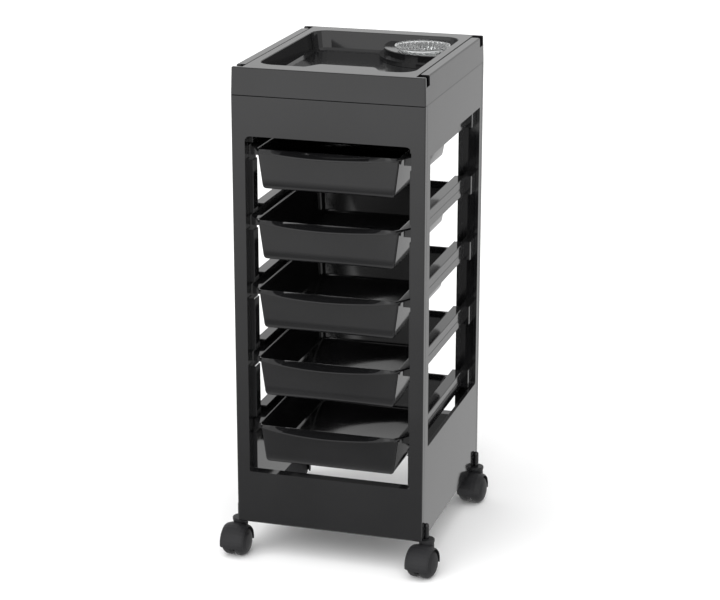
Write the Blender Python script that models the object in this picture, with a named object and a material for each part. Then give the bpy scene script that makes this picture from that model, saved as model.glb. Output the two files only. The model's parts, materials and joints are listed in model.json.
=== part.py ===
"""Rolling salon trolley: two window frames, two side panels and a tray top on four twin-wheel castors,
with five drawers that slide on ledge rails. Metres, +Z up, the drawers open towards -Y.
The origin is on the floor, under the middle of the whole, the drawers' bowed lips included."""

from math import cos, pi, radians, sin

import bmesh
import bpy
from mathutils import Matrix, Vector

# Body
BODY_W = 0.329
BODY_D = 0.389
PANEL_H = 0.750
BODY_Z = 0.063  # lower edge of the panels above the floor
BODY_X = 0.0131  # the body's middle, to the right of the origin
BODY_Y = 0.016  # the body's middle, behind the origin
FRONT = BODY_Y - BODY_D / 2
REAR = BODY_Y + BODY_D / 2
WALL = 0.003
EDGE_R = 0.0025
GAP = 0.0004  # between pieces that touch

# Front and rear frames
FRAME_RETURN = 0.0115
WINDOW_HALF = 0.1415
WINDOW_LOW = 0.094
WINDOW_HIGH = 0.6825
WINDOW_DEPTH = 0.019
WINDOW_R_TOP = 0.009
WINDOW_R_LOW = 0.003

# Side panels
SIDE_WINDOW_LOW = 0.161
SIDE_WINDOW_HIGH = 0.673
SIDE_WINDOW_FRONT = 0.033  # from the front plane, and the same from the rear plane at the back
SIDE_WINDOW_REAR = 0.0245
SIDE_RETURN = 0.006

# Drawers: five, counted from the top
LEVELS = 5
TOP_RIM = 0.664  # height of the first drawer's rim above the panels' lower edge
PITCH = 0.120
DRAWER_RIM_HALF = 0.1222
DRAWER_DEPTH = 0.0695
DRAWER_WALL = 0.0022
DRAWER_LOW_HALF = 0.1135  # outer half width near the bottom, and under the rim
DRAWER_HIGH_HALF = 0.1207
DRAWER_CORNER = 0.003  # radius of its front corners
DRAWER_FRONT = 0.0035  # behind the front plane
DRAWER_BACK_LOW = 0.316
DRAWER_BACK = 0.330
FLANGE_HALF = 0.1405
FLANGE_BACK = 0.334
FLANGE_T = 0.003
LIP_HALF = 0.1165
LIP_BOW = 0.028
LIP_END = -0.004  # where the lip's ends stand, relative to the front plane
LIP_DROP = 0.004  # the lip's edge is this much lower than the rim
LIP_T = 0.010  # height of the lip's face at its ends
LIP_SAG = 0.016  # and how much taller it is in the middle
LIP_TUCK = 0.014  # how far back its lower edge stands
LIP_STEPS = 6  # on each side of the lip's middle
EAR_Y = 0.024
EAR_DROP = 0.025

# Rails and the pillars that hold them
RAIL_OUT = 0.148
RAIL_IN = 0.1245
RAIL_TOP = 0.0115  # above the drawer rim
RAIL_LOW = -0.018
RAIL_WEB = 0.003
GUIDE_IN = 0.1295  # the top plate, which keeps a pulled drawer from tipping, reaches in to here
GUIDE_T = 0.0024
LEDGE_TOP = -0.0036
LEDGE_T = 0.003
RAIL_END = 0.0565  # from the front and rear planes
LEDGE_END = 0.0335
LEDGE_NARROW = 0.1338
PILLAR_IN = 0.134
PILLAR_WALL = 0.002
PILLAR_FRONT = 0.040  # a front pillar's wall reaches this far behind the front plane
PILLAR_REAR = 0.054  # and a rear one's this far before the rear plane
SOCKET_LOW = -0.021
NOTCH_LOW = -0.026
NOTCH_HIGH = 0.004

# Tray top
CAP_H = 0.0455
CAP_DRAFT = 0.0012
STRIP_W = 0.0165
GROOVE = 0.002
NOTCH_NEAR = 0.008
NOTCH_FAR = 0.028
NOTCH_DEPTH = 0.016
BASIN_HALF = 0.1325
BASIN_FRONT = 0.036
BASIN_BACK = 0.034
BASIN_DEPTH = 0.033
BASIN_R = 0.028
TONGUE_Y = 0.064
TONGUE_LEFT = -0.040
TONGUE_RIGHT = 0.070
TONGUE_BLEND = 0.012
BASIN_EDGE = 0.0012
BASIN_TAPER = 0.005
PLATE_T = 0.0025
STRIP_R = 0.0025

# Cup holder and dish, in the rear right of the basin
POD_X = 0.098
POD_Y = 0.137
POD_R = 0.095
POD_TOP = 0.0335  # above the cap's lower edge
POD_STEP = 0.008  # the plinth under it is this much wider
POD_STEP_Z = 0.020
DISH_X = 0.082
DISH_Y = 0.088
DISH_R = 0.048
DISH_DEPTH = 0.020
DISH_TOP = 0.0435

# Castors
CASTOR_OUT = 0.003  # swivel axis outside the side face
CASTOR_IN = 0.021  # swivel axis from the front and rear planes
WHEEL_R = 0.025
WHEEL_INNER = 0.0045  # a wheel's inner face and the middle of its domed outer face, from the middle
WHEEL_OUTER = 0.0250
HOOD_HALF = 0.0212
HOOD_R = 0.0310
WEB_HALF = 0.0038
TRAIL = 0.018
AXLE_R = 0.003
AXLE_END = 0.0215
STEM_R = 0.003
CAP_R = 0.0138
NECK_R = 0.0130
BOSS_R = 0.0045
BOSS_H = 0.0275
CASTOR_YAW = {"front_right": -9, "front_left": -3, "rear_right": -5, "rear_left": -60}
ROUND = 24

BLACK = (0.021, 0.021, 0.022, 1)
CHARCOAL = (0.035, 0.035, 0.037, 1)

MIRROR_X = Matrix.Scale(-1, 4, Vector((1, 0, 0)))
MIRROR_Y = Matrix.Scale(-1, 4, Vector((0, 1, 0)))


def material(name, colour, roughness, metallic=0.0, alpha=1.0):
    made = bpy.data.materials.new(name)
    made.use_nodes = True
    shader = made.node_tree.nodes["Principled BSDF"]
    shader.inputs["Base Color"].default_value = colour
    shader.inputs["Roughness"].default_value = roughness
    shader.inputs["Metallic"].default_value = metallic
    shader.inputs["Alpha"].default_value = alpha
    return made


def loft(loops, ring=False):
    """A closed skin over loops of equal length. A ring joins its last loop to its first."""
    bm = bmesh.new()
    rows = [[bm.verts.new(point) for point in loop] for loop in loops]
    count = len(rows[0])
    pairs = list(zip(rows, rows[1:]))
    if ring:
        pairs.append((rows[-1], rows[0]))
    for low, high in pairs:
        for i in range(count):
            j = (i + 1) % count
            bm.faces.new((low[i], low[j], high[j], high[i]))
    if not ring:
        bm.faces.new(rows[0])
        bm.faces.new(rows[-1])
    bmesh.ops.recalc_face_normals(bm, faces=bm.faces)
    mesh = bpy.data.meshes.new("part")
    bm.to_mesh(mesh)
    bm.free()
    return mesh


def rounded(x0, x1, y0, y1, radii, steps=4):
    """A rectangle with rounded corners, anticlockwise from its low corner, with a radius for each in turn."""
    corners = ((x0, y0, 180), (x1, y0, 270), (x1, y1, 0), (x0, y1, 90))
    inward = ((1, 1), (-1, 1), (-1, -1), (1, -1))
    points = []
    for (x, y, start), (in_x, in_y), r in zip(corners, inward, radii):
        for i in range(steps + 1):
            turn = radians(start + 90 * i / steps)
            points.append((x + r * (in_x + cos(turn)), y + r * (in_y + sin(turn))))
    return points


def block(x0, x1, y0, y1, z0, z1):
    outline = ((x0, y0), (x1, y0), (x1, y1), (x0, y1))
    return loft([[(x, y, z) for x, y in outline] for z in (z0, z1)])


def turned(profile, steps=ROUND):
    """A solid of revolution about Z from (radius, height) points, capped at both ends."""
    angles = [2 * pi * i / steps for i in range(steps)]
    return loft([[(r * cos(a), r * sin(a), z) for a in angles] for r, z in profile])


def moved(mesh, matrix):
    mesh.transform(matrix)
    if matrix.determinant() < 0:
        mesh.flip_normals()
    return mesh


def copied(mesh, matrix):
    return moved(mesh.copy(), matrix)


def combined(base, tools, operation):
    """The mesh left by joining the tools to the base, or by cutting them from it."""
    holder = bpy.data.objects.new("holder", base)
    bpy.context.scene.collection.objects.link(holder)
    helpers = []
    for tool in tools:
        helper = bpy.data.objects.new("tool", tool)
        bpy.context.scene.collection.objects.link(helper)
        helpers.append(helper)
        cut = holder.modifiers.new("combine", "BOOLEAN")
        cut.object = helper
        cut.operation = operation
        cut.solver = "EXACT"
    graph = bpy.context.evaluated_depsgraph_get()
    result = bpy.data.meshes.new_from_object(holder.evaluated_get(graph))
    for thing in [holder] + helpers:
        bpy.data.objects.remove(thing)
    return result


def positioned(made, location, turn, parent):
    """Puts an object in the scene. Without a parent, its X counts from the body's middle."""
    shift = BODY_X if parent is None else 0
    made.location = (location[0] + shift, location[1], location[2])
    made.rotation_euler = (0, 0, turn)
    made.parent = parent
    bpy.context.scene.collection.objects.link(made)
    return made


def place(name, mesh, finish, location=(0, 0, 0), turn=0.0, parent=None):
    mesh.materials.clear()
    mesh.materials.append(finish)
    mesh.shade_smooth()
    mesh.set_sharp_from_angle(angle=radians(35))
    return positioned(bpy.data.objects.new(name, mesh), location, turn, parent)


def marker(name, location, turn, parent=None):
    return positioned(bpy.data.objects.new(name, None), location, turn, parent)


def frame_mesh():
    """A window frame whose outer face is the plane Y = 0: outer skin, side returns and window lining."""
    half = BODY_W / 2

    def outer(inset, y):
        flat = rounded(-half + inset, half - inset, inset, PANEL_H - inset, (0.0006,) * 4)
        return [(x, y, z) for x, z in flat]

    def window(grow, y):
        radii = (WINDOW_R_LOW + grow,) * 2 + (WINDOW_R_TOP + grow,) * 2
        across = WINDOW_HALF + grow
        flat = rounded(-across, across, WINDOW_LOW - grow, WINDOW_HIGH + grow, radii)
        return [(x, y, z) for x, z in flat]

    loops = [outer(0, FRAME_RETURN)]
    for i in range(4):
        turn = radians(90 - 30 * i)
        loops.append(outer(EDGE_R * (1 - sin(turn)), EDGE_R * (1 - cos(turn))))
    loops += [window(0, 0), window(0, WINDOW_DEPTH), window(WALL, WINDOW_DEPTH), window(WALL, WALL)]
    loops += [outer(WALL, WALL), outer(WALL, FRAME_RETURN)]
    return loft(loops, ring=True)


def side_mesh():
    """The right side panel: its outer face is the plane X = 0 and Y = 0 is the front plane."""
    front = FRAME_RETURN + GAP
    rear = BODY_D - FRAME_RETURN - GAP

    def outer(inset, x):
        flat = rounded(front + inset, rear - inset, inset, PANEL_H - inset, (0.0006,) * 4)
        return [(x, y, z) for y, z in flat]

    def window(grow, x):
        flat = rounded(
            SIDE_WINDOW_FRONT - grow,
            BODY_D - SIDE_WINDOW_REAR + grow,
            SIDE_WINDOW_LOW - grow,
            SIDE_WINDOW_HIGH + grow,
            (0.003 + grow,) * 4,
        )
        return [(x, y, z) for y, z in flat]

    chamfer = 0.0008
    loops = [outer(0, -WALL), outer(0, -chamfer), outer(chamfer, 0), window(0, 0)]
    loops += [window(0, -SIDE_RETURN), window(0.0025, -SIDE_RETURN), window(0.0025, -WALL)]
    panel = loft(loops, ring=True)
    turns = [radians(a) for a in (0, 25, 50, 72, 86)]
    dome = [(BOSS_R * cos(a), BOSS_H - BOSS_R + BOSS_R * sin(a)) for a in turns]
    bosses = []
    bores = []
    for y in (CASTOR_IN, BODY_D - CASTOR_IN):
        spot = Matrix.Translation((CASTOR_OUT, y, 0))
        bosses.append(moved(turned([(BOSS_R, 0)] + dome, 16), spot))
        bores.append(moved(turned([(STEM_R + GAP, -0.01), (STEM_R + GAP, 0.022)], 16), spot))
    return combined(combined(panel, bosses, "UNION"), bores, "DIFFERENCE")


def pillar_mesh(reach, notched):
    """A left pillar, Y = 0 being its frame's plane: a web behind the frame, a wall, and the rails' sockets.
    A front pillar is notched at each level, where the drawer's flange slides through."""
    far = BODY_W / 2 - WALL - GAP
    y0 = WINDOW_DEPTH + GAP
    outline = (
        (-far, y0),
        (-PILLAR_IN, y0),
        (-PILLAR_IN, reach),
        (-PILLAR_IN - PILLAR_WALL, reach),
        (-PILLAR_IN - PILLAR_WALL, y0 + PILLAR_WALL),
        (-far, y0 + PILLAR_WALL),
    )
    pillar = loft([[(x, y, z) for x, y in outline] for z in (WINDOW_LOW, WINDOW_HIGH)])
    socket_far = BODY_W / 2 - SIDE_RETURN - GAP
    notches = []
    sockets = []
    low = NOTCH_LOW - 0.005 if notched else SOCKET_LOW
    for level in range(LEVELS):
        rim = TOP_RIM - level * PITCH
        ends = (y0 - 0.01, reach + 0.01)
        notches.append(block(-WINDOW_HALF, -PILLAR_IN + 0.01, *ends, rim + NOTCH_LOW, rim + NOTCH_HIGH))
        ends = (y0 + 0.001, RAIL_END - GAP)
        sockets.append(block(-socket_far, -WINDOW_HALF - 0.0005, *ends, rim + low, rim + RAIL_TOP))
    if notched:
        pillar = combined(pillar, notches, "DIFFERENCE")
    return combined(pillar, sockets, "UNION")


def rail_mesh():
    """A left rail: an outer wall, a guide plate over the drawer's flange and the ledge that it runs on.
    Z = 0 is the drawer's rim and Y = 0 the front plane."""
    groove = 0.0007
    web = (
        (-RAIL_OUT, RAIL_LOW),
        (-RAIL_OUT + RAIL_WEB, RAIL_LOW),
        (-RAIL_OUT + RAIL_WEB, LEDGE_TOP - LEDGE_T),
        (-RAIL_IN, LEDGE_TOP - LEDGE_T),
        (-RAIL_IN, LEDGE_TOP),
        (-RAIL_OUT + RAIL_WEB, LEDGE_TOP),
        (-RAIL_OUT + RAIL_WEB, RAIL_TOP - GUIDE_T),
        (-GUIDE_IN, RAIL_TOP - GUIDE_T),
        (-GUIDE_IN, RAIL_TOP),
        (-RAIL_OUT + 0.001, RAIL_TOP),
        (-RAIL_OUT, RAIL_TOP - 0.001),
        (-RAIL_OUT, -0.0022),
        (-RAIL_OUT + groove, -0.0028),
        (-RAIL_OUT + groove, -0.0038),
        (-RAIL_OUT, -0.0044),
    )
    ends = (RAIL_END, BODY_D - RAIL_END)
    rail = loft([[(x, y, z) for x, z in web] for y in ends])
    ledge_ends = (LEDGE_END, BODY_D - LEDGE_END)
    tongue = block(-LEDGE_NARROW, -RAIL_IN, *ledge_ends, LEDGE_TOP - LEDGE_T, LEDGE_TOP)
    return combined(rail, [tongue], "UNION")


def drawer_loop(half, front, back, z, radius, near=None, bow=0.0, lip_z=0.0, sag=0.0, ear=None, ear_z=0.0):
    """One outline of a drawer. The front bows forward and sags in its middle, and ear is how far back its
    corners stand, with the radius near. The lip and the ears can lie higher or lower than the sides."""
    near = radius if near is None else near
    lip = min(LIP_HALF, half - near)
    points = []
    for i in range(-LIP_STEPS, LIP_STEPS + 1):
        across = i / LIP_STEPS
        swell = 1 - across * across
        points.append((lip * across, front - bow * swell, z + lip_z - sag * swell))
    start = front if ear is None else ear

    def corner(sign, y, r, turn_from):
        turns = [radians(turn_from + 90 * i / 4) for i in range(5)]
        return [(sign * (half - r) + r * cos(t), y + r * sin(t)) for t in turns]

    right = [(x, y, z + ear_z) for x, y in corner(1, start + near, near, -90)]
    left = [(x, y, z + ear_z) for x, y in corner(-1, start + near, near, 180)]
    side_y = EAR_Y + 0.006 if ear is None else start + near + 0.0025
    flat = corner(1, back - radius, radius, 0) + corner(-1, back - radius, radius, 90)
    rear = [(x, y, z) for x, y in flat]
    return points + right + [(half, side_y, z)] + rear + [(-half, side_y, z)] + left


def drawer_mesh():
    """A drawer: Z = 0 is its rim and Y = 0 the front plane."""
    low, high = DRAWER_LOW_HALF, DRAWER_HIGH_HALF
    front, back = DRAWER_FRONT, DRAWER_BACK
    back_low = DRAWER_BACK_LOW
    bottom = -DRAWER_DEPTH
    lip_low = -LIP_DROP - LIP_T
    tuck = {"near": DRAWER_CORNER, "bow": LIP_BOW - LIP_TUCK, "sag": LIP_SAG}
    edge = {"radius": 0.002, "bow": LIP_BOW, "ear": EAR_Y}
    floor = bottom + 0.0028
    lip_edge = LIP_END - 0.0004
    outside = [
        drawer_loop(low - 0.007, front + 0.0055, back_low - 0.005, bottom, 0.008, 0.002),
        drawer_loop(low - 0.0022, front + 0.0017, back_low - 0.001, bottom + 0.002, 0.010, 0.002),
        drawer_loop(low, front, back_low, bottom + 0.0065, 0.010, DRAWER_CORNER),
        drawer_loop(low + 0.0025, front - 0.001, back_low + 0.005, -0.042, 0.010, DRAWER_CORNER),
        drawer_loop(high - 0.003, front - 0.002, back - 0.006, -0.025, 0.010, DRAWER_CORNER, lip_z=-0.009),
        drawer_loop(high - 0.001, LIP_END, back - 0.003, -0.016, 0.010, lip_z=lip_low + 0.0165,
                    ear_z=-0.006, **tuck),
        drawer_loop(high, LIP_END, back, -0.010, 0.010, lip_z=lip_low + 0.0115, ear_z=-0.010, **tuck),
        drawer_loop(high + 0.0025, lip_edge, back + 0.002, -FLANGE_T, 0.010, bow=LIP_BOW,
                    lip_z=-LIP_DROP + FLANGE_T - 0.0025, ear_z=-0.016),
        drawer_loop(FLANGE_HALF, lip_edge, FLANGE_BACK, -FLANGE_T, lip_z=-LIP_DROP + FLANGE_T - 0.002,
                    ear_z=-EAR_DROP + FLANGE_T, **edge),
        drawer_loop(FLANGE_HALF, LIP_END, FLANGE_BACK, -0.0006, lip_z=-LIP_DROP, **edge),
    ]
    inside = [
        drawer_loop(DRAWER_RIM_HALF + 0.001, -0.007, back + 0.001, 0, 0.012),
        drawer_loop(DRAWER_RIM_HALF - 0.002, -0.003, back - 0.002, -0.0025, 0.012),
        drawer_loop(high - DRAWER_WALL, front - 0.001, back - 0.006, -0.012, 0.012),
        drawer_loop(low - DRAWER_WALL + 0.001, front + 0.003, back_low - 0.002, floor + 0.005, 0.010),
        drawer_loop(low - 0.007, front + 0.008, back_low - 0.007, floor, 0.007),
    ]
    return loft(outside + inside)


def basin_loop(inset, z):
    """The basin's outline at one height, with a tongue of the rim that stands into its front."""
    half = BASIN_HALF - inset
    near = -BODY_D / 2 + BASIN_FRONT + inset
    tongue = -BODY_D / 2 + TONGUE_Y + inset
    far = BODY_D / 2 - BASIN_BACK - inset
    flat = rounded(-half, half, near, far, (BASIN_R - inset * 0.6,) * 4, 5)
    steps = 6
    front = []
    for centre, start, stop in ((TONGUE_LEFT, near, tongue), (TONGUE_RIGHT, tongue, near)):
        for i in range(steps + 1):
            part = i / steps
            y = start + (stop - start) * (1 - cos(pi * part)) / 2
            front.append((centre + TONGUE_BLEND * (2 * part - 1), y))
    flat = flat[:6] + front + flat[6:]
    return [(x, y, z) for x, y in flat]


def basin_solid(grow, top, depth):
    """The basin's hollow, or with grow its outer shell, as a solid."""
    return loft(
        [
            basin_loop(-grow - BASIN_EDGE, top),
            basin_loop(-grow, CAP_H - BASIN_EDGE),
            basin_loop(BASIN_TAPER - grow, CAP_H - depth + 0.004),
            basin_loop(BASIN_TAPER + 0.004 - grow, CAP_H - depth),
        ]
    )


def tray_mesh():
    """The tray top, from the seam up: front and rear bands, rim and basin. X = Y = 0 is its middle."""
    rim_half = BODY_W / 2 - STRIP_W - GROOVE
    end = BODY_D / 2
    loops = []
    for z, edge in ((0, 0), (CAP_H - 0.0012, 0), (CAP_H, 0.0012)):
        inset = CAP_DRAFT * z / CAP_H + edge
        half = BODY_W / 2 - inset
        flat = rounded(-half, half, -end + inset, end - inset, (EDGE_R,) * 4, 3)
        loops.append([(x, y, z) for x, y in flat])
    under = CAP_H - PLATE_T
    wide = BODY_W
    inner_end = end - NOTCH_NEAR
    cuts = [
        block(-wide, wide, -inner_end, inner_end, -0.01, under),
        block(-wide, wide, WALL - end, end - WALL, -0.02, CAP_H - NOTCH_DEPTH),
        block(rim_half, wide, -inner_end, inner_end, under - 0.005, CAP_H + 0.01),
        block(-wide, -rim_half, -inner_end, inner_end, under - 0.005, CAP_H + 0.01),
    ]
    cap = combined(loft(loops), cuts, "DIFFERENCE")
    cap = combined(cap, [basin_solid(PLATE_T, CAP_H - 0.0005, BASIN_DEPTH + PLATE_T)], "UNION")
    return combined(cap, [basin_solid(0, CAP_H + 0.0005, BASIN_DEPTH)], "DIFFERENCE")


def trim_mesh():
    """The right accessory rail: the cap's side wall and the strip on its top, with a notch at both ends."""
    out = BODY_W / 2
    inner = out - STRIP_W
    top = CAP_H
    profile = [(out, 0)]
    for i in range(4):
        turn = radians(30 * i)
        profile.append((out - CAP_DRAFT - STRIP_R * (1 - cos(turn)), top - STRIP_R * (1 - sin(turn))))
    profile += [
        (inner + 0.0004, top),
        (inner, top - 0.0006),
        (inner, top - 0.008),
        (inner + 0.002, top - 0.008),
        (inner + 0.002, top - WALL),
        (out - CAP_DRAFT - WALL, top - WALL),
        (out - WALL, 0),
    ]
    length = BODY_D / 2 - WALL - GAP
    trim = loft([[(x, y, z) for x, z in profile] for y in (-length, length)])
    cuts = []
    for side in (-1, 1):
        ends = sorted((side * BODY_D, side * (BODY_D / 2 - NOTCH_FAR)))
        cuts.append(block(inner - 0.01, out + 0.01, *ends, top - NOTCH_DEPTH - GAP, top + 0.01))
    return combined(trim, cuts, "DIFFERENCE")


def dish_profile(grow):
    """(radius, height below the rim) of the dish's outer side, from its foot up."""
    return [
        (DISH_R * 0.70 + grow, -DISH_DEPTH - grow),
        (DISH_R * 0.76 + grow, -DISH_DEPTH + 0.002),
        (DISH_R * 0.93 + grow, -0.004),
    ]


def holder_mesh():
    """The cup holder: a round-fronted platform in the rear right of the basin, with a seat for the dish."""
    spot = Matrix.Translation((POD_X, POD_Y, 0))
    drum = [(POD_R, 0), (POD_R, POD_TOP - 0.001), (POD_R - 0.001, POD_TOP)]
    plinth = [(POD_R + POD_STEP, 0), (POD_R + POD_STEP, POD_STEP_Z)]
    whole = combined(moved(turned(drum, 48), spot), [moved(turned(plinth, 48), spot)], "UNION")
    room = basin_solid(-GAP, CAP_H + 0.0005, BASIN_DEPTH - GAP)
    whole = combined(whole, [room], "INTERSECT")
    seat = [(r, DISH_TOP + z) for r, z in dish_profile(GAP)] + [(DISH_R, DISH_TOP + 0.01)]
    hollow = moved(turned(seat, 48), Matrix.Translation((DISH_X, DISH_Y, 0)))
    return combined(whole, [hollow], "DIFFERENCE")


def dish_mesh():
    """The clear dish: Z = 0 is its rim."""
    outer = dish_profile(0) + [(DISH_R, -0.003), (DISH_R, 0)]
    inner = [(DISH_R - 0.0022, 0), (DISH_R * 0.93 - 0.0022, -0.004), (DISH_R * 0.74, -DISH_DEPTH + 0.0025)]
    return turned(outer + inner, 48)


def stem_mesh():
    """A castor's fixed stem with its cap disc. Z = 0 is the panels' lower edge."""
    return turned(
        [
            (STEM_R, -0.0125),
            (STEM_R, -0.0050),
            (CAP_R, -0.0050),
            (CAP_R, -0.0015),
            (CAP_R - 0.001, -0.0006),
            (STEM_R + 0.002, -0.0006),
            (STEM_R, -0.0002),
            (STEM_R, 0.0190),
            (STEM_R - 0.001, 0.0200),
        ]
    )


def hood_mesh():
    """A castor's hood. Its origin is where its swivel axis meets the floor."""
    axle = Matrix.Translation((0, -TRAIL, WHEEL_R))
    across = axle @ Matrix.Rotation(radians(90), 4, "Y")
    inner = WHEEL_R + 0.0012
    angles = [radians(-10 + 200 * i / 16) for i in range(17)]
    half = ((HOOD_HALF, 0.0266), (0.0185, 0.0285), (0.0130, 0.0302), (0.0050, HOOD_R))
    crown = [(-x, r) for x, r in half] + list(reversed(half))
    fender = moved(loft([[(x, r * cos(a), r * sin(a)) for a in angles] for x, r in crown]), axle)
    groove = NECK_R - 0.0012
    neck = turned(
        [
            (NECK_R, 0.032),
            (NECK_R, 0.0515),
            (groove, 0.0522),
            (groove, 0.0536),
            (NECK_R, 0.0543),
            (NECK_R, BODY_Z - 0.0055),
        ]
    )
    rooms = []
    for ends in ((WEB_HALF, 0.04), (-0.04, -WEB_HALF)):
        rooms.append(moved(turned([(inner, end) for end in ends], 32), across))
    bores = [
        turned([(STEM_R + GAP, BODY_Z - 0.013), (STEM_R + GAP, BODY_Z)], 16),
        moved(turned([(AXLE_R + GAP, -0.02), (AXLE_R + GAP, 0.02)], 16), across),
    ]
    return combined(combined(fender, [neck], "UNION"), rooms + bores, "DIFFERENCE")


def axle_mesh():
    """The axle, along X."""
    end = AXLE_END - 0.0005
    profile = [(AXLE_R - 0.0005, -AXLE_END), (AXLE_R, -end), (AXLE_R, end), (AXLE_R - 0.0005, AXLE_END)]
    return moved(turned(profile, 16), Matrix.Rotation(radians(90), 4, "Y"))


def wheel_mesh():
    """The right wheel of a pair, turning about X, with its origin on the middle of the axle."""
    profile = [
        (AXLE_R + GAP, AXLE_END + GAP),
        (AXLE_R + GAP, WHEEL_INNER),
        (WHEEL_R - 0.003, WHEEL_INNER),
        (WHEEL_R - 0.0008, WHEEL_INNER + 0.0012),
        (WHEEL_R, WHEEL_INNER + 0.004),
        (WHEEL_R, 0.0125),
        (WHEEL_R - 0.0015, 0.0168),
        (WHEEL_R - 0.0050, 0.0206),
        (WHEEL_R - 0.0115, 0.0236),
        (0.004, WHEEL_OUTER),
    ]
    return moved(turned(profile), Matrix.Rotation(radians(90), 4, "Y"))


def build_castor(name, pivot, yaw, finish, stem_finish, metal):
    swivel = marker(name + "_swivel_axis", (pivot[0], pivot[1], 0), radians(yaw))
    place(name + "_castor_stem", stem_mesh(), stem_finish, (pivot[0], pivot[1], BODY_Z))
    place(name + "_castor_hood", hood_mesh(), finish, parent=swivel)
    hub = marker(name + "_axle_axis", (0, -TRAIL, WHEEL_R), 0, swivel)
    place(name + "_castor_axle", axle_mesh(), metal, parent=hub)
    place(name + "_right_wheel", wheel_mesh(), stem_finish, parent=hub)
    place(name + "_left_wheel", copied(wheel_mesh(), MIRROR_X), stem_finish, parent=hub)


def build_body(gloss):
    """Frames, side panels, pillars and rails. Each left piece is mirrored for the right side."""
    place("front_frame", frame_mesh(), gloss, (0, FRONT, BODY_Z))
    place("rear_frame", frame_mesh(), gloss, (0, REAR, BODY_Z), turn=pi)
    place("right_side_panel", side_mesh(), gloss, (BODY_W / 2, FRONT, BODY_Z))
    place("left_side_panel", copied(side_mesh(), MIRROR_X), gloss, (-BODY_W / 2, FRONT, BODY_Z))
    for side, mirror in (("left", Matrix.Identity(4)), ("right", MIRROR_X)):
        front_pillar = copied(pillar_mesh(PILLAR_FRONT, True), mirror)
        place(f"front_{side}_pillar", front_pillar, gloss, (0, FRONT, BODY_Z))
        rear_pillar = copied(pillar_mesh(PILLAR_REAR, False), mirror @ MIRROR_Y)
        place(f"rear_{side}_pillar", rear_pillar, gloss, (0, REAR, BODY_Z))
        for level in range(LEVELS):
            rim = BODY_Z + TOP_RIM - level * PITCH
            place(f"{side}_rail_{level + 1}", copied(rail_mesh(), mirror), gloss, (0, FRONT, rim))


def build_drawers(gloss):
    for level in range(LEVELS):
        rim = BODY_Z + TOP_RIM - level * PITCH
        place(f"drawer_{level + 1}", drawer_mesh(), gloss, (0, FRONT, rim))


def build_top(gloss, clear):
    seam = BODY_Z + PANEL_H + GAP
    place("tray_top", tray_mesh(), gloss, (0, BODY_Y, seam))
    place("right_accessory_rail", trim_mesh(), gloss, (0, BODY_Y, seam))
    place("left_accessory_rail", copied(trim_mesh(), MIRROR_X), gloss, (0, BODY_Y, seam))
    place("cup_holder", holder_mesh(), gloss, (0, BODY_Y, seam))
    place("clear_dish", dish_mesh(), clear, (DISH_X, BODY_Y + DISH_Y, seam + DISH_TOP))


def main():
    for old in list(bpy.data.objects):
        bpy.data.objects.remove(old)
    gloss = material("black gloss plastic", BLACK, 0.12)
    hood = material("charcoal plastic", CHARCOAL, 0.5)
    tread = material("castor tread", CHARCOAL, 0.6)
    steel = material("zinc plated steel", (0.6, 0.6, 0.62, 1), 0.35, metallic=1.0)
    clear = material("clear plastic", (0.95, 0.97, 0.97, 1), 0.05, alpha=0.35)
    build_body(gloss)
    build_drawers(gloss)
    build_top(gloss, clear)
    for name, yaw in CASTOR_YAW.items():
        end, side = name.split("_")
        x = (BODY_W / 2 + CASTOR_OUT) * (1 if side == "right" else -1)
        y = REAR - CASTOR_IN if end == "rear" else FRONT + CASTOR_IN
        build_castor(name, (x, y), yaw, hood, tread, steel)


main()
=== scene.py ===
"""The looks of a rolling salon trolley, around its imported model. Metres, +Z up, the drawers open towards -Y.

The frames, panels, rails, pillars, tray, stems and hoods are the model's own solids with softened edges. The
drawers, wheels and dish are finer meshes that take those solids' places."""

import json
from math import cos, pi, radians, sin

import bmesh
import bpy
from mathutils import Matrix, Vector


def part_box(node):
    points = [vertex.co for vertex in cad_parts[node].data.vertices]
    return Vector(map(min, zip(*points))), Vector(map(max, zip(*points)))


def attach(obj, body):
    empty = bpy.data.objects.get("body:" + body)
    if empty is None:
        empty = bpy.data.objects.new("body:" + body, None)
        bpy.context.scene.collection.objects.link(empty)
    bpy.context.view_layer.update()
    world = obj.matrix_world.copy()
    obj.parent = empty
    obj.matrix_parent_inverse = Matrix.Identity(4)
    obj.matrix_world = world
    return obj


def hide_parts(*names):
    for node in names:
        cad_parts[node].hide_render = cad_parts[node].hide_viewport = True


# Camera and light
CAMERA_AT = (1.06762, -3.48179, 1.56513)
CAMERA_TURN = (72.583, 0.0, 16.824)  # degrees
CAMERA_LENS = 109.94
SENSOR_WIDTH = 36
FLOOR_SIZE = 60.0
SKY = 0.86
SKY_FRONT_HIGH = 1.65  # towards the drawers' side, near the horizon
SKY_FRONT_LOW = 0.36  # and lower down, where it mirrors a dimmer room
HORIZON_BAND = (-0.40, -0.20)  # heights between which the front sky goes from low to high
FLOOR_BAND = (-0.70, -0.42)  # heights between which it goes from the plain sky to low
FRONT_BAND = (-0.75, -0.35)  # depths between which the front sky gives way to the plain one
KEY_ENERGY = 1.9
KEY_SOFTNESS = 70  # degrees across
KEY_TURN = (35, -8, 0)  # degrees

# Finish
SHARP_ANGLE = 32  # degrees between faces that meet in an edge
FLUTE_ANGLE = 60
EDGE_RADIUS = 0.0009
RAIL_RADIUS = 0.0005
DRAWER_RADIUS = 0.0006
STEM_RADIUS = 0.0003
AXLE_RADIUS = 0.0002
WAVE_HEIGHT = 0.00012
PLASTIC_IOR = 1.5
ACRYLIC_IOR = 1.49

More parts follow.
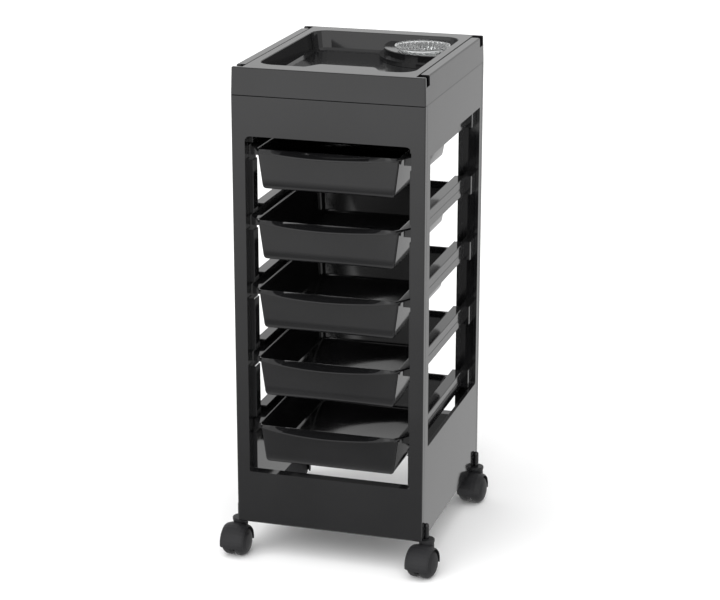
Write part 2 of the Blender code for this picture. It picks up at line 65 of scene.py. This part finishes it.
# Drawer: Z = 0 is its rim and Y = 0 the front plane
RIM_HALF = 0.1222
DEPTH = 0.0695
FLOOR_T = 0.0028
WALL = 0.0022
LOW_HALF = 0.1135  # half width at the foot of the walls
HIGH_HALF = 0.1207  # and under the rim
FRONT_WALL = 0.0035
FRONT_LEAN = 0.001  # how far the front wall leans out towards the top
BACK_LOW = 0.316
BACK = 0.330
CORNER = 0.003
FLANGE_HALF = 0.1405
FLANGE_BACK = 0.334
FLANGE_T = 0.003
FLANGE_R = 0.002
LIP_HALF = 0.1165
LIP_BOW = 0.028
LIP_END = -0.004
LIP_DROP = 0.004
LIP_EDGE = 0.0004  # chamfer around the lip and flanges
WALL_LOW = -0.0625
WALL_HIGH = -0.0080
WALL_STEPS = 5
LIP_STEPS = 20
FOOT_R = 0.010  # corner radius of the walls at the back
BASIN_R = 0.012  # corner radius inside the rim
BASIN_NEAR_R = 0.009  # and at the front
EAR_Y = 0.024
EAR_R = 0.004
EAR_DROP = 0.018
EAR_T = 0.003
CORNER_STEPS = 8
LEVELS = 5

# Wheels
WHEEL_R = 0.025
WHEEL_INNER = 0.0045
WHEEL_OUTER = 0.0250
AXLE_HOLE = 0.0031
HUB_CAP = 0.0220  # inner face of the hub's closed end
GATE_MARK = 0.0003  # radius of the moulding mark in its middle
TURN_STEPS = 96

# Dish
FLUTES = 32
FLUTE_STEPS = 8
FLUTE_DEPTH = 0.0028

BLACK = (0.006, 0.006, 0.0064, 1)
CHARCOAL = (0.010, 0.010, 0.011, 1)


# ---- materials

def link(tree, source, target):
    tree.links.new(source, target)


def noise(tree, scale, detail, stretch=(1, 1, 1)):
    """A noise value that lies still on the object."""
    coords = tree.nodes.new("ShaderNodeTexCoord")
    mapping = tree.nodes.new("ShaderNodeMapping")
    mapping.inputs["Scale"].default_value = stretch
    texture = tree.nodes.new("ShaderNodeTexNoise")
    texture.inputs["Scale"].default_value = scale
    texture.inputs["Detail"].default_value = detail
    link(tree, coords.outputs["Object"], mapping.inputs["Vector"])
    link(tree, mapping.outputs["Vector"], texture.inputs["Vector"])
    return texture.outputs["Fac"]


def ranged(tree, value, low, high, start=0.35, end=0.65):
    node = tree.nodes.new("ShaderNodeMapRange")
    link(tree, value, node.inputs["Value"])
    node.inputs["From Min"].default_value = start
    node.inputs["From Max"].default_value = end
    node.inputs["To Min"].default_value = low
    node.inputs["To Max"].default_value = high
    return node.outputs["Result"]


def blended(tree, factor, first, second):
    node = tree.nodes.new("ShaderNodeMix")
    node.data_type = "RGBA"
    link(tree, factor, node.inputs["Factor"])
    node.inputs["A"].default_value = first
    node.inputs["B"].default_value = second
    return node.outputs["Result"]


def bumped(tree, height, distance, normal=None):
    node = tree.nodes.new("ShaderNodeBump")
    node.inputs["Distance"].default_value = distance
    link(tree, height, node.inputs["Height"])
    if normal is not None:
        link(tree, normal, node.inputs["Normal"])
    return node.outputs["Normal"]


def summed(tree, first, second):
    node = tree.nodes.new("ShaderNodeMath")
    link(tree, first, node.inputs[0])
    link(tree, second, node.inputs[1])
    return node.outputs["Value"]


def new_material(name):
    made = bpy.data.materials.new(name)
    made.use_nodes = True
    tree = made.node_tree
    return made, tree, tree.nodes["Principled BSDF"]


def plastic(name, colour, gloss, grain, wear, shine=0.5):
    """Moulded plastic: faint flow marks in its gloss, fine grain, and hairline wear that catches the light."""
    made, tree, shader = new_material(name)
    flow = noise(tree, 7, 3)
    hairlines = noise(tree, 30, 6, (1, 14, 40))
    dusty = tuple(c * 1.2 + 0.001 for c in colour[:3]) + (1,)
    link(tree, blended(tree, ranged(tree, flow, 0, 1), colour, dusty), shader.inputs["Base Color"])
    marks = ranged(tree, hairlines, 0, wear, 0.62, 0.75)
    link(tree, summed(tree, ranged(tree, flow, gloss, gloss * 1.3), marks), shader.inputs["Roughness"])
    waves = bumped(tree, noise(tree, 11, 1), WAVE_HEIGHT)
    link(tree, bumped(tree, noise(tree, 1400, 2), grain, waves), shader.inputs["Normal"])
    shader.inputs["IOR"].default_value = PLASTIC_IOR
    shader.inputs["Specular IOR Level"].default_value = shine
    return made


def steel_finish():
    """Zinc plated steel with lathe marks."""
    made, tree, shader = new_material("zinc plated steel")
    flow = noise(tree, 60, 4)
    grey = blended(tree, ranged(tree, flow, 0, 1), (0.50, 0.50, 0.52, 1), (0.66, 0.66, 0.68, 1))
    link(tree, grey, shader.inputs["Base Color"])
    link(tree, ranged(tree, flow, 0.28, 0.42), shader.inputs["Roughness"])
    link(tree, bumped(tree, noise(tree, 300, 2, (12, 1, 1)), 0.00003), shader.inputs["Normal"])
    shader.inputs["Metallic"].default_value = 1.0
    return made


def clear_finish():
    """Clear moulded plastic, a little uneven and with fine scratches from use."""
    made, tree, shader = new_material("clear plastic")
    tint = blended(tree, ranged(tree, noise(tree, 20, 2), 0, 1), (0.97, 0.98, 0.98, 1), (0.93, 0.95, 0.95, 1))
    link(tree, tint, shader.inputs["Base Color"])
    link(tree, ranged(tree, noise(tree, 40, 6, (1, 9, 1)), 0.02, 0.10), shader.inputs["Roughness"])
    link(tree, bumped(tree, noise(tree, 45, 2), 0.0003), shader.inputs["Normal"])
    shader.inputs["Transmission Weight"].default_value = 0.95
    shader.inputs["IOR"].default_value = ACRYLIC_IOR
    return made


def floor_finish():
    """A pale studio floor with barely visible mottling."""
    made, tree, shader = new_material("studio floor")
    tone = blended(tree, noise(tree, 3, 4), (0.88, 0.88, 0.88, 1), (0.91, 0.91, 0.91, 1))
    link(tree, tone, shader.inputs["Base Color"])
    shader.inputs["Roughness"].default_value = 0.9
    shader.inputs["Specular IOR Level"].default_value = 0.0
    return made


# ---- mesh work

def smoothed(mesh, angle=SHARP_ANGLE):
    mesh.shade_smooth()
    mesh.set_sharp_from_angle(angle=radians(angle))


def piece(name, mesh, finish, at=Matrix.Identity(4), angle=SHARP_ANGLE):
    mesh.transform(at)
    mesh.materials.append(finish)
    smoothed(mesh, angle)
    made = bpy.data.objects.new(name, mesh)
    bpy.context.scene.collection.objects.link(made)
    return made


def softened(made, width):
    """Rounds the sharp edges that a mould leaves a small radius on."""
    bevel = made.modifiers.new("edge radius", "BEVEL")
    bevel.width = width
    bevel.segments = 2
    bevel.limit_method = "ANGLE"
    bevel.angle_limit = radians(SHARP_ANGLE)
    bevel.harden_normals = True
    bevel.use_clamp_overlap = True


def mesh_from(bm, name):
    bmesh.ops.recalc_face_normals(bm, faces=bm.faces)
    mesh = bpy.data.meshes.new(name)
    bm.to_mesh(mesh)
    bm.free()
    return mesh


def loft(loops):
    """A closed skin over loops of equal length, with both ends capped, as an open bmesh."""
    bm = bmesh.new()
    rows = [[bm.verts.new(point) for point in loop] for loop in loops]
    count = len(rows[0])
    for low, high in zip(rows, rows[1:]):
        for i in range(count):
            j = (i + 1) % count
            bm.faces.new((low[i], low[j], high[j], high[i]))
    bm.faces.new(rows[0])
    bm.faces.new(rows[-1])
    return bm


def turned(profile, name):
    """A closed ring-shaped solid from a profile of radii and heights, turned about Z."""
    bm = bmesh.new()
    rows = []
    for i in range(TURN_STEPS):
        turn = 2 * pi * i / TURN_STEPS
        rows.append([bm.verts.new((r * cos(turn), r * sin(turn), z)) for r, z in profile])
    for i in range(TURN_STEPS):
        low, high = rows[i], rows[(i + 1) % TURN_STEPS]
        for j in range(len(profile)):
            k = (j + 1) % len(profile)
            bm.faces.new((low[j], low[k], high[k], high[j]))
    return mesh_from(bm, name)


# ---- drawers

def drawer_loop(half, front, back, z, radius, near=None, bow=0.0, drop=0.0, ear=None):
    """One outline of a drawer. Its front bows forward and lies lower by drop, and ear is how far back its
    corners stand, with the radius near."""
    near = radius if near is None else near
    lip = min(LIP_HALF, half - near)
    points = []
    for i in range(-LIP_STEPS, LIP_STEPS + 1):
        across = i / LIP_STEPS
        points.append((lip * across, front - bow * (1 - across * across), z - drop))
    start = (front if ear is None else ear) + near

    def corner(sign, y, r, turn_from):
        turns = [radians(turn_from + 90 * i / CORNER_STEPS) for i in range(CORNER_STEPS + 1)]
        return [(sign * (half - r) + r * cos(t), y + r * sin(t), z) for t in turns]

    rear = corner(1, back - radius, radius, 0) + corner(-1, back - radius, radius, 90)
    return points + corner(1, start, near, -90) + rear + corner(-1, start, near, 180)


def block(bm, x0, x1, y0, y1, z0, z1):
    size = Matrix.Diagonal((x1 - x0, y1 - y0, z1 - z0, 1))
    middle = Matrix.Translation(((x0 + x1) / 2, (y0 + y1) / 2, (z0 + z1) / 2))
    bmesh.ops.create_cube(bm, size=1, matrix=middle @ size)


def wall_rings():
    """The drawer's outside from above its rounded foot to under its lip: half width, front, back and height."""
    for i in range(WALL_STEPS + 1):
        up = i / WALL_STEPS
        half = LOW_HALF + (HIGH_HALF - LOW_HALF) * up
        front = FRONT_WALL - FRONT_LEAN * up
        back = BACK_LOW + (BACK - BACK_LOW) * up
        yield half, front, back, WALL_LOW + (WALL_HIGH - WALL_LOW) * up


def drawer_mesh(name):
    """A drawer with its rim at Z = 0: rounded foot, walls, lip and flanges outside, then the basin inside."""
    bottom = -DEPTH
    floor = bottom + FLOOR_T
    edge = {"near": EAR_R, "bow": LIP_BOW, "ear": EAR_Y}
    flange = (FLANGE_HALF - LIP_EDGE, LIP_END + LIP_EDGE * 1.5, FLANGE_BACK - LIP_EDGE)
    flange_edge = (FLANGE_HALF, LIP_END, FLANGE_BACK)
    outside = [
        drawer_loop(LOW_HALF - 0.007, FRONT_WALL + 0.0050, BACK_LOW - 0.007, bottom, 0.008, 0.002),
        drawer_loop(LOW_HALF - 0.0035, FRONT_WALL + 0.0022, BACK_LOW - 0.0035, bottom + 0.0010, 0.009, 0.002),
        drawer_loop(LOW_HALF - 0.0010, FRONT_WALL + 0.0006, BACK_LOW - 0.001, bottom + 0.0034, FOOT_R, CORNER),
    ]
    outside += [drawer_loop(*ring, FOOT_R, CORNER) for ring in wall_rings()]
    outside += [
        drawer_loop(HIGH_HALF + 0.0005, FRONT_WALL - FRONT_LEAN, BACK + 0.001, -0.0054, FOOT_R, CORNER),
        drawer_loop(*flange, -FLANGE_T, FLANGE_R, drop=LIP_DROP, **edge),
        drawer_loop(*flange_edge, -FLANGE_T + 0.0005, FLANGE_R, drop=LIP_DROP, **edge),
        drawer_loop(*flange_edge, -0.0010, FLANGE_R, drop=LIP_DROP, **edge),
        drawer_loop(*flange, -0.0006, FLANGE_R, drop=LIP_DROP - 0.0003, **edge),
    ]
    basin = (BASIN_R, BASIN_NEAR_R)
    inside = [
        drawer_loop(RIM_HALF + 0.001, -0.007, BACK + 0.001, 0, *basin),
        drawer_loop(RIM_HALF - 0.0012, -0.0045, BACK - 0.001, -0.0006, *basin),
        drawer_loop(RIM_HALF - 0.002, -0.003, BACK - 0.002, -0.0025, *basin),
        drawer_loop(HIGH_HALF - WALL, FRONT_WALL - FRONT_LEAN + WALL, BACK - 0.006, -0.012, *basin),
        drawer_loop(LOW_HALF - WALL + 0.001, FRONT_WALL + 0.003, BACK_LOW - 0.002, floor + 0.005, FOOT_R),
        drawer_loop(LOW_HALF - WALL - 0.001, FRONT_WALL + 0.005, BACK_LOW - 0.004, floor + 0.0015, 0.009),
        drawer_loop(LOW_HALF - 0.007, FRONT_WALL + 0.008, BACK_LOW - 0.007, floor, 0.007),
    ]
    bm = loft(outside + inside)
    for side in (-1, 1):
        ends = sorted((side * (HIGH_HALF + 0.002), side * (FLANGE_HALF - 0.0003)))
        block(bm, *ends, EAR_Y + 0.0002, EAR_Y + 0.0002 + EAR_T, -EAR_DROP, -FLANGE_T - 0.0001)
    return mesh_from(bm, name)


def make_drawers(finish):
    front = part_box("front_frame")[0][1]
    for level in range(1, LEVELS + 1):
        node = f"drawer_{level}"
        low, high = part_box(node)
        spot = Matrix.Translation(((low[0] + high[0]) / 2, front, high[2]))
        made = piece(f"moulded_drawer_{level}", drawer_mesh(node), finish, spot)
        softened(made, DRAWER_RADIUS)
        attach(made, node)
        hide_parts(node)


# ---- castors

def wheel_mesh(name):
    """A right wheel about its axle along X: tread with rounded shoulders, dished side and hub boss."""
    r = WHEEL_R
    inner, outer = WHEEL_INNER, WHEEL_OUTER
    profile = [
        (AXLE_HOLE, inner),
        (0.0075, inner),
        (0.0080, inner + 0.0012),
        (r - 0.0050, inner + 0.0012),
        (r - 0.0044, inner),
        (r - 0.0012, inner),
        (r - 0.0003, inner + 0.0004),
        (r, inner + 0.0014),
        (r, 0.0118),
        (r - 0.0004, 0.0140),
        (r - 0.0015, 0.0166),
        (r - 0.0031, 0.0188),
        (r - 0.0050, 0.0205),
        (r - 0.0074, 0.0219),
        (r - 0.0080, 0.0216),
        (r - 0.0086, 0.0223),
        (r - 0.0115, 0.0234),
        (0.0080, outer - 0.0007),
        (0.0040, outer - 0.0001),
        (GATE_MARK, outer),
        (GATE_MARK, HUB_CAP),
        (AXLE_HOLE, HUB_CAP),
    ]
    mesh = turned(profile, name)
    mesh.transform(Matrix.Rotation(radians(90), 4, "Y"))
    return mesh


def make_wheels(finish):
    for joint in frame["joints"]:
        node = joint["child"]
        if not node.endswith("_wheel"):
            continue
        turn = Vector((1, 0, 0)).rotation_difference(Vector(joint["axis"])).to_matrix().to_4x4()
        mesh = wheel_mesh(node)
        if "_left_wheel" in node:
            mesh.transform(Matrix.Scale(-1, 4, Vector((1, 0, 0))))
            mesh.flip_normals()
        spot = Matrix.Translation(joint["pos_m"]) @ turn
        made = piece(f"moulded_{node}", mesh, finish, spot)
        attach(made, node)
        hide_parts(node)


# ---- dish

def dish_mesh(radius, height, name):
    """A shallow fluted dish: Z = 0 is its rim."""
    rings = [
        (radius * 0.30, -height, 0.0),
        (radius * 0.66, -height, 0.0),
        (radius * 0.72, -height + 0.0010, 0.6),
        (radius * 0.77, -height + 0.0035, 1.0),
        (radius * 0.86, -0.0100, 1.0),
        (radius * 0.95, -0.0034, 0.5),
        (radius - 0.0004, -0.0028, 0.0),
        (radius, -0.0022, 0.0),
        (radius, -0.0006, 0.0),
        (radius - 0.0006, 0.0, 0.0),
        (radius - 0.0028, 0.0, 0.0),
        (radius * 0.90, -0.0036, 0.0),
        (radius * 0.81, -0.0100, 0.8),
        (radius * 0.73, -height + 0.0045, 0.8),
        (radius * 0.68, -height + 0.0026, 0.3),
        (radius * 0.62, -height + 0.0022, 0.0),
        (radius * 0.30, -height + 0.0022, 0.0),
    ]
    steps = FLUTES * FLUTE_STEPS
    loops = []
    for ring, z, fluted in rings:
        loop = []
        for i in range(steps):
            turn = 2 * pi * i / steps
            wave = fluted * FLUTE_DEPTH * (abs(sin(FLUTES * turn / 2)) - 1)
            loop.append(((ring + wave) * cos(turn), (ring + wave) * sin(turn), z))
        loops.append(loop)
    return mesh_from(loft(loops), name)


def make_dish(finish):
    low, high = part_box("clear_dish")
    spot = Matrix.Translation(((low[0] + high[0]) / 2, (low[1] + high[1]) / 2, high[2]))
    radius = (high[0] - low[0]) / 2
    made = piece("fluted_dish", dish_mesh(radius, high[2] - low[2], "dish"), finish, spot, FLUTE_ANGLE)
    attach(made, "clear_dish")
    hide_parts("clear_dish")


# ---- the model's own solids

def finish_solids(gloss, charcoal, stem, steel):
    """Gives each solid that still shows its finish and a small radius on its edges."""
    for name, solid in frame["nodes"].items():
        if name.endswith("_hood"):
            finish, radius = charcoal, EDGE_RADIUS
        elif name.endswith("_stem"):
            finish, radius = stem, STEM_RADIUS
        elif name.endswith("_axle"):
            finish, radius = steel, AXLE_RADIUS
        else:
            finish, radius = gloss, RAIL_RADIUS if "_rail" in name else EDGE_RADIUS
        solid.data.materials.clear()
        solid.data.materials.append(finish)
        smoothed(solid.data)
        softened(solid, radius)


# ---- studio

def make_floor():
    bm = bmesh.new()
    bmesh.ops.create_grid(bm, x_segments=1, y_segments=1, size=FLOOR_SIZE / 2)
    floor = piece("floor", mesh_from(bm, "floor"), floor_finish())
    floor.visible_glossy = False


def make_sky():
    """An even white room that is brighter in front of the drawers near the horizon and dimmer below it."""
    world = bpy.data.worlds.new("studio")
    world.use_nodes = True
    tree = world.node_tree
    coords = tree.nodes.new("ShaderNodeTexCoord")
    parts = tree.nodes.new("ShaderNodeSeparateXYZ")
    link(tree, coords.outputs["Generated"], parts.inputs["Vector"])
    horizon = ranged(tree, parts.outputs["Z"], SKY_FRONT_LOW, SKY_FRONT_HIGH, *HORIZON_BAND)
    near = ranged(tree, parts.outputs["Z"], SKY - SKY_FRONT_LOW, 0, *FLOOR_BAND)
    ahead = ranged(tree, parts.outputs["Y"], 1, 0, *FRONT_BAND)
    mixed = tree.nodes.new("ShaderNodeMix")
    link(tree, ahead, mixed.inputs["Factor"])
    mixed.inputs["A"].default_value = SKY
    link(tree, summed(tree, horizon, near), mixed.inputs["B"])
    background = tree.nodes["Background"]
    link(tree, mixed.outputs["Result"], background.inputs["Strength"])
    background.inputs["Color"].default_value = (1, 1, 1, 1)
    bpy.context.scene.world = world


def make_light():
    light = bpy.data.lights.new("overhead", "SUN")
    light.energy = KEY_ENERGY
    light.angle = radians(KEY_SOFTNESS)
    key = bpy.data.objects.new("overhead", light)
    key.rotation_euler = [radians(a) for a in KEY_TURN]
    key.visible_glossy = False
    bpy.context.scene.collection.objects.link(key)


def make_camera():
    lens = bpy.data.cameras.new("camera")
    lens.lens = CAMERA_LENS
    lens.sensor_width = SENSOR_WIDTH
    camera = bpy.data.objects.new("camera", lens)
    camera.location = CAMERA_AT
    camera.rotation_euler = [radians(a) for a in CAMERA_TURN]
    bpy.context.scene.collection.objects.link(camera)
    bpy.context.scene.camera = camera
    bpy.context.scene.view_settings.view_transform = "Standard"


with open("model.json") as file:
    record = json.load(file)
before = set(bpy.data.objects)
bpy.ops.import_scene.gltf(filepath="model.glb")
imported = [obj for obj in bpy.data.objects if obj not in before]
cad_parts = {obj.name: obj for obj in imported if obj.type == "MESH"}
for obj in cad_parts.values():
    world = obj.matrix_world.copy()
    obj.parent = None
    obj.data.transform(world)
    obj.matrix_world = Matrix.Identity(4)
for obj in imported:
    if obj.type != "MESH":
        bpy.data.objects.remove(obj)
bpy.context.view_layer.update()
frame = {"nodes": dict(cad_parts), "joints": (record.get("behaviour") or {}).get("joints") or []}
black = plastic("black gloss plastic", BLACK, 0.075, 0.000003, 0.10)
finish_solids(
    black,
    plastic("charcoal plastic", CHARCOAL, 0.42, 0.00002, 0.08, 0.3),
    plastic("charcoal stem", CHARCOAL, 0.38, 0.00002, 0.08, 0.3),
    steel_finish(),
)
make_drawers(black)
make_wheels(plastic("castor tread", CHARCOAL, 0.50, 0.00003, 0.10, 0.3))
make_dish(clear_finish())
make_floor()
make_sky()
make_light()
make_camera()
